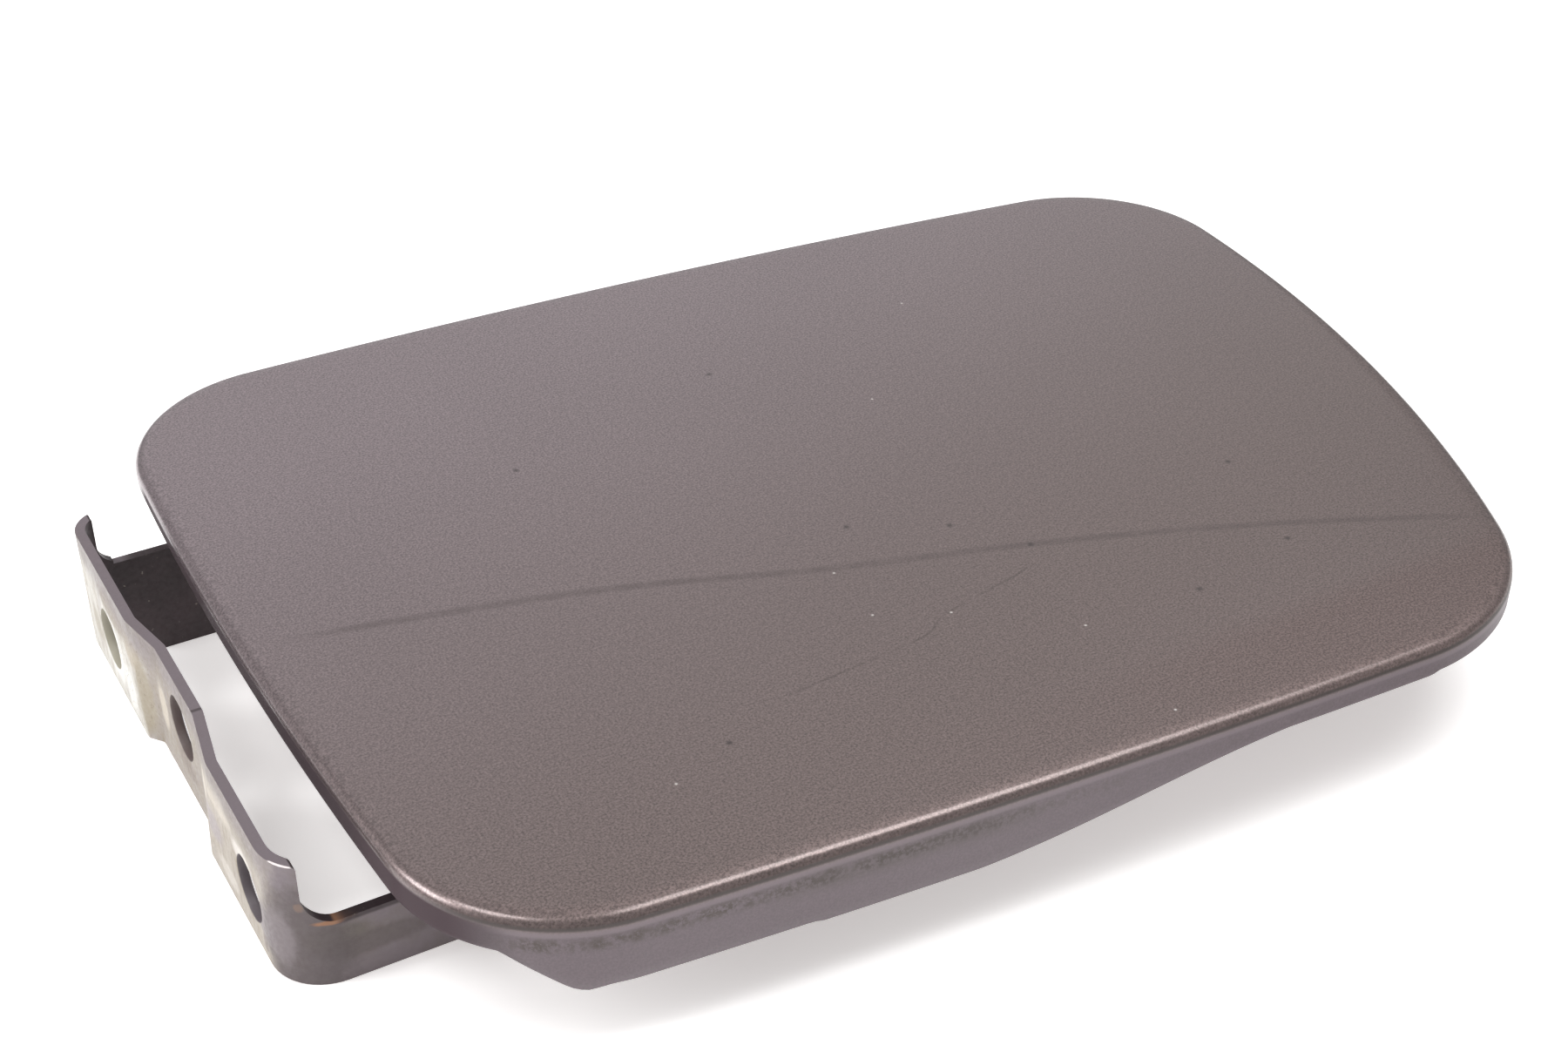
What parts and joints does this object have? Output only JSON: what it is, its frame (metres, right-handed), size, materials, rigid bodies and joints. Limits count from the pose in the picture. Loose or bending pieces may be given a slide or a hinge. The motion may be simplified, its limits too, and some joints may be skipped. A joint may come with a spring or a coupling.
{
  "type": "fuel filler flap",
  "caption": "Painted sheet-steel fuel filler flap with a bent U-shaped hinge strap welded underneath, a latch catch and rubber buffers.",
  "frame": {"origin": "midway between the two hinge bolt holes, on the strap leg's outer mounting face", "axes": "+X from the hinge towards the latch, along the strap's arms; +Y along the strap's leg, towards the end with the deeper arm; +Z out of the lid's painted face"},
  "size_m": [0.1915, 0.143, 0.0286],
  "materials": {
    "body_paint": "metallic clear coat, dusty, with fine scratches",
    "panel_paint": "thin overspray on primer",
    "strap_primer": "worn primer with overspray, stains and rust",
    "catch_zinc": "dull zinc plate",
    "rivet_steel": "satin",
    "buffer_rubber": "matte",
    "pad_foam": "matte closed-cell foam"
  },
  "bodies": {
    "root": {"outer_skin": "body_paint", "inner_panel": "panel_paint", "hinge_strap": "strap_primer", "latch_catch": "catch_zinc", "catch_rivet_near": "rivet_steel", "catch_rivet_far": "rivet_steel", "buffer_near": "buffer_rubber", "buffer_far": "buffer_rubber", "foam_pad_near": "pad_foam", "foam_pad_far": "pad_foam"}
  },
  "joints": []
}
